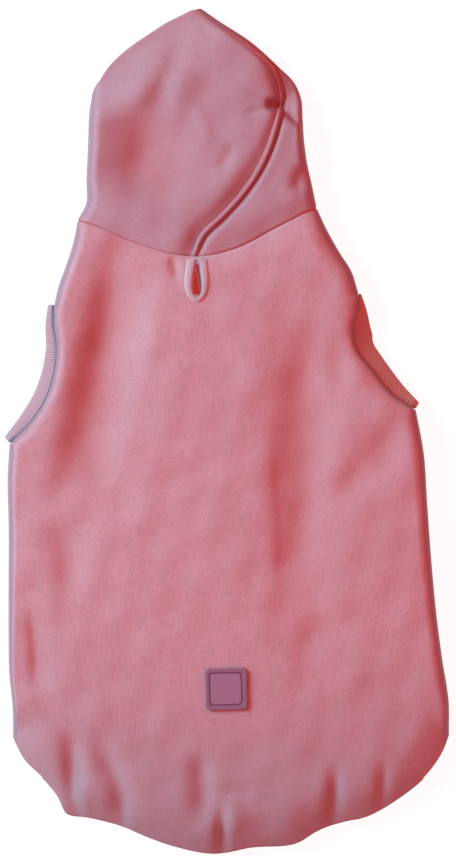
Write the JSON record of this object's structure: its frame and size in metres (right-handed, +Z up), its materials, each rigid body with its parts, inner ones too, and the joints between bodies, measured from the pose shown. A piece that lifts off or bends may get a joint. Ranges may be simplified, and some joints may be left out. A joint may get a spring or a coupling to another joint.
{
  "type": "hooded pet sweatshirt",
  "caption": "Sleeveless hooded fleece sweatshirt for a small dog, lying flat with its back up, with ribbed armbands, a bound leash slot and a turned-up hem.",
  "frame": {"origin": "on the table under the middle of the garment as it lies flat", "axes": "+X to the right of the picture, +Y from the hem towards the hood, +Z up from the table"},
  "size_m": [0.3216, 0.6094, 0.0193],
  "materials": {
    "fleece_back": "matt brushed sweatshirt fleece, dusty pink",
    "fleece_belly": "matt brushed sweatshirt fleece, dusty pink",
    "fleece_hood": "matt brushed sweatshirt fleece, dusty pink",
    "rib_knit": "matt rib knit, dusty pink",
    "binding_strip": "matt folded strip, dusty pink",
    "patch_rubber": "satin moulded rubber, mauve"
  },
  "bodies": {
    "root": {"back_panel": "fleece_back", "belly_panel": "fleece_belly", "hood_left_panel": "fleece_hood", "hood_right_panel": "fleece_hood", "armband_left": "rib_knit", "armband_right": "rib_knit", "leash_slot_binding": "binding_strip", "label_patch": "patch_rubber"}
  },
  "joints": []
}
